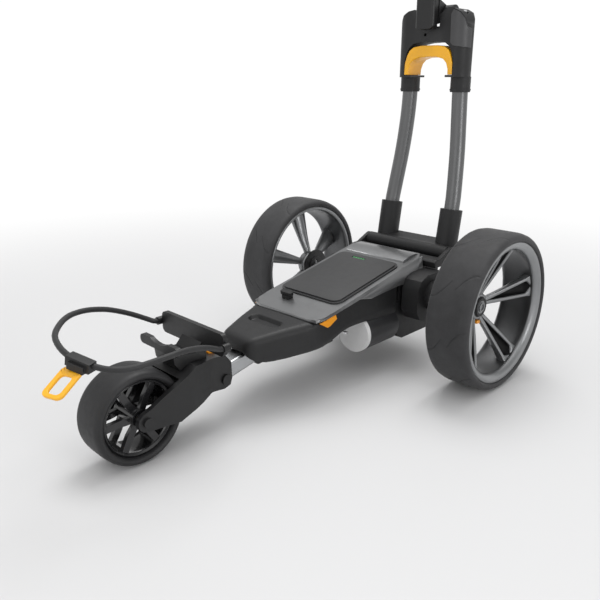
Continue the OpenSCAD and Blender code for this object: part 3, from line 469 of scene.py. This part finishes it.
def chassis_skin():
    half = [(-402, 22), (-400.5, 28.5), (-397.5, 34), (-392, 39), (-384, 42.5), (-374, 47), (-358, 53), (-340, 59.5), (-318, 67.5), (-298, 74.5), (-284, 78.2), (-270, 79.9), (-62, 79.9)]
    top = [(-402, 127), (-400.5, 131.5), (-397.5, 135.5), (-392, 138.8), (-384, 140.9), (-374, 142.2), (-340, 146.8), (-294, 150.8), (-290, 149.2), (-287, 146.8), (-62, 192.0)]
    bot = [(-402, 115), (-400.5, 110), (-397.5, 106), (-392, 102), (-384, 99), (-374, 97), (-362, 96.4), (-340, 97), (-322, 98.6), (-300, 100.4), (-270, 103.5), (-245, 109), (-222, 117), (-200, 121), (-150, 120), (-100, 115), (-62, 109)]
    rc = [(-402, 2.5), (-400.5, 5.5), (-397.5, 8), (-392, 10), (-384, 11.5), (-374, 12.5), (-300, 14), (-290, 9), (-284, 4), (-62, 3)]
    ys = [-402, -401.4, -400.5, -399.2, -397.5, -395, -392, -388.5, -384, -379, -374, -368, -362]
    ys += [-358 + 2.0 * i for i in range(32)] + [-293, -291.5, -290, -288.5, -287, -284, -278, -270] + [-255 + 16.083 * i for i in range(13)]
    bm = bmesh.new()
    rings = []
    for y in ys:
        hw_, zt, zb, r = interp(half, y), interp(top, y), interp(bot, y), interp(rc, y)
        r = min(r, (zt - zb) * 0.48, hw_ * 0.5)
        pr = []
        for k in range(5):
            z = zb + (zt - r - zb) * k / 4.0
            pr.append((hw_ - (0.5 if k == 0 else 0), z))
        for k in range(1, 9):
            a = radians(90 * k / 8)
            pr.append((hw_ - r + r * cos(a), zt - r + r * sin(a)))
        nx = 24
        x0 = hw_ - r
        for k in range(1, nx):
            x = x0 * (1 - k / nx)
            pr.append((x, zt + 0.5 * (1 - (x / x0) ** 2)))
        full = [(x, z) for x, z in pr] + [(0.0, zt + 0.5)] + [(-x, z) for x, z in reversed(pr)]
        ring = []
        for (x, z) in full:
            # oval finger recess in the nose
            u = max(abs(x) - 24.5, 0) / 11.4
            v = abs(y + 332) / 11.4
            q = math.sqrt(u * u + v * v)
            if z > zt - 2.5 and q < 1.12:
                t = min(1.0, max(0.0, (1.12 - q) / 0.26))
                z -= 7.0 * t * t * (3 - 2 * t)
            ring.append(bm.verts.new((x / 1000, OY + y / 1000, z / 1000)))
        rings.append(ring)
    for a, b in zip(rings, rings[1:]):
        for j in range(len(a) - 1):
            bm.faces.new((a[j], a[j + 1], b[j + 1], b[j]))
    bm.faces.new(rings[0])
    bmesh.ops.recalc_face_normals(bm, faces=bm.faces)
    # the open skin faces outwards when its top points up
    up = sum(f.normal.z for f in bm.faces)
    if up < 0:
        bmesh.ops.reverse_faces(bm, faces=bm.faces)
    o = new_obj("chassis_skin", bm, "chassis", "black", nodes=("chassis_shell",))
    so = o.modifiers.new("wall", "SOLIDIFY")
    so.thickness = 0.003
    so.offset = -1
    so.use_even_offset = False
    n_ = o.modifiers.new("wn", "WEIGHTED_NORMAL")
    n_.keep_sharp = False
    # collar round the front tube, under the lip
    bm = bmesh.new()
    rot = Matrix.Rotation(radians(12), 3, "X")

    def rr_loop(w_, h_, r_, d):
        out = []
        for cx, cz, a0 in ((1, 1, 0), (-1, 1, 90), (-1, -1, 180), (1, -1, 270)):
            for k in range(7):
                a = radians(a0 + 15 * k)
                v = Vector((cx * (w_ / 2 - r_) + r_ * cos(a), d, cz * (h_ / 2 - r_) + r_ * sin(a)))
                v = rot @ v
                out.append(bm.verts.new(ax(v.x, -372 + v.y, 101 + v.z)))
        return out
    loops = [rr_loop(36.8, 28.8, 5, 40), rr_loop(36.8, 28.8, 5, 2.0), rr_loop(38.4, 30.4, 5.6, 1.2), rr_loop(47.5, 38.5, 8, 1.2), rr_loop(49.5, 40, 8.5, 3.0), rr_loop(54, 42, 9, 40)]
    for k in range(len(loops)):
        a, b = loops[k], loops[(k + 1) % len(loops)]
        for j in range(len(a)):
            bm.faces.new((a[j], a[(j + 1) % len(a)], b[(j + 1) % len(a)], b[j]))
    bmesh.ops.recalc_face_normals(bm, faces=bm.faces)
    new_obj("chassis_collar", bm, "chassis", "black", nodes=("chassis_shell",))


chassis_skin()

# ------------------------------------------------------------------ floor, light, camera
fm = bpy.data.materials.new("floor_pale")
fm.use_nodes = True
fnt = fm.node_tree
fb = fnt.nodes["Principled BSDF"]
fb.inputs["Base Color"].default_value = (0.62, 0.62, 0.624, 1)
fb.inputs["Roughness"].default_value = 0.6
fo = fnt.nodes["Material Output"]
fe = fnt.nodes.new("ShaderNodeEmission")
fe.inputs[0].default_value = (1, 1, 1, 1)
fe.inputs[1].default_value = 1.02
fx = fnt.nodes.new("ShaderNodeMixShader")
fcrd = fnt.nodes.new("ShaderNodeTexCoord")
flen = fnt.nodes.new("ShaderNodeVectorMath")
flen.operation = "LENGTH"
fmr = fnt.nodes.new("ShaderNodeMapRange")
fmr.interpolation_type = "SMOOTHSTEP"
fmr.inputs[1].default_value = 0.62
fmr.inputs[2].default_value = 2.1
fnt.links.new(fcrd.outputs["Object"], flen.inputs[0])
fnt.links.new(flen.outputs["Value"], fmr.inputs[0])
fnt.links.new(fmr.outputs[0], fx.inputs[0])
fnt.links.new(fb.outputs[0], fx.inputs[1])
fnt.links.new(fe.outputs[0], fx.inputs[2])
fnt.links.new(fx.outputs[0], fo.inputs[0])
bpy.ops.mesh.primitive_plane_add(size=60, location=(0, 0, -0.0002))
floor = bpy.context.object
floor.name = "floor"
floor.data.materials.append(fm)

w = bpy.data.worlds.new("studio")
bpy.context.scene.world = w
w.use_nodes = True
wnt = w.node_tree
wb = wnt.nodes["Background"]
wc_ = wnt.nodes.new("ShaderNodeTexCoord")
wsx = wnt.nodes.new("ShaderNodeSeparateXYZ")
wr = wnt.nodes.new("ShaderNodeValToRGB")
wnt.links.new(wc_.outputs["Generated"], wsx.inputs[0])
wnt.links.new(wsx.outputs["Z"], wr.inputs[0])
wnt.links.new(wr.outputs[0], wb.inputs[0])
wb.inputs[1].default_value = 1.46
stops = [(0.0, 0.70), (0.20, 0.70), (0.30, 0.30), (0.60, 0.34), (0.82, 0.85), (1.0, 1.0)]
while len(wr.color_ramp.elements) < len(stops):
    wr.color_ramp.elements.new(0.5)
for e_, (ps, v) in zip(wr.color_ramp.elements, stops):
    e_.position = ps
for e_, (ps, v) in zip(wr.color_ramp.elements, stops):
    e_.color = (v, v, v, 1)


def area(name, loc, target, size, power, col=(1, 1, 1)):
    l = bpy.data.lights.new(name, "AREA")
    l.shape = "RECTANGLE"
    l.size, l.size_y = size
    l.energy = power
    l.color = col
    o = bpy.data.objects.new(name, l)
    bpy.context.scene.collection.objects.link(o)
    o.location = loc
    d = Vector(target) - Vector(loc)
    o.rotation_euler = d.to_track_quat("-Z", "Y").to_euler()
    return o


area("key", (-0.35, 0.75, 2.6), (0, -0.1, 0.1), (1.4, 1.4), 32)
area("rim_right", (2.2, -0.2, 0.9), (0.25, 0, 0.12), (0.7, 0.9), 9)
area("front", (0.3, -2.6, 1.5), (0, 0, 0.2), (2.0, 1.2), 8)

bpy.context.scene.view_settings.view_transform = "Standard"
bpy.context.scene.view_settings.look = "None"
cam = bpy.data.cameras.new("camera")
cam.lens = 39.18
cam.sensor_width = 36
co = bpy.data.objects.new("camera", cam)
bpy.context.scene.collection.objects.link(co)
co.location = (0.78482, -0.80258, 0.54148)
co.rotation_euler = (radians(90 - 18.61), 0, radians(44.51))
cam.clip_start = 0.01
bpy.context.scene.camera = co
